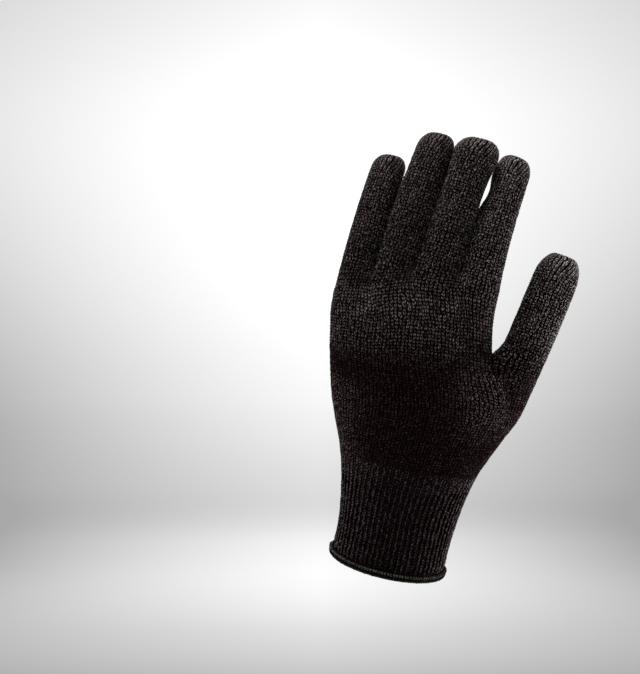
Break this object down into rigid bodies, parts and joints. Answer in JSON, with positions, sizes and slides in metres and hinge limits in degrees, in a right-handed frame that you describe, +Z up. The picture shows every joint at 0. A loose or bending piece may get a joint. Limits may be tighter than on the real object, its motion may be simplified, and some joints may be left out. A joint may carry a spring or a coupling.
{
  "type": "winter glove",
  "caption": "Thin knitted winter glove for the left hand, shown in the shape of a hand: hollow fingers and thumb, plain knit hand, ribbed cuff with a rolled hem.",
  "frame": {"origin": "the centre of the wrist opening, in the plane of the lower edge of the hem", "axes": "+Z runs up along the hand to the fingertips, +X points to the thumb's side, +Y to the palm and -Y to the back of the hand"},
  "size_m": [0.1224, 0.0565, 0.2278],
  "materials": {
    "finger_knit": "matt plain knit of fine dark yarn",
    "hand_knit": "matt plain knit of fine dark yarn",
    "cuff_rib": "matt one-and-one rib of fine dark yarn",
    "hem_overlock": "matt overlock stitching of dark yarn"
  },
  "bodies": {
    "root": {"little_finger": "finger_knit", "ring_finger": "finger_knit", "middle_finger": "finger_knit", "index_finger": "finger_knit", "thumb": "finger_knit", "hand": "hand_knit", "rib_cuff": "cuff_rib", "cuff_hem": "hem_overlock"}
  },
  "joints": []
}
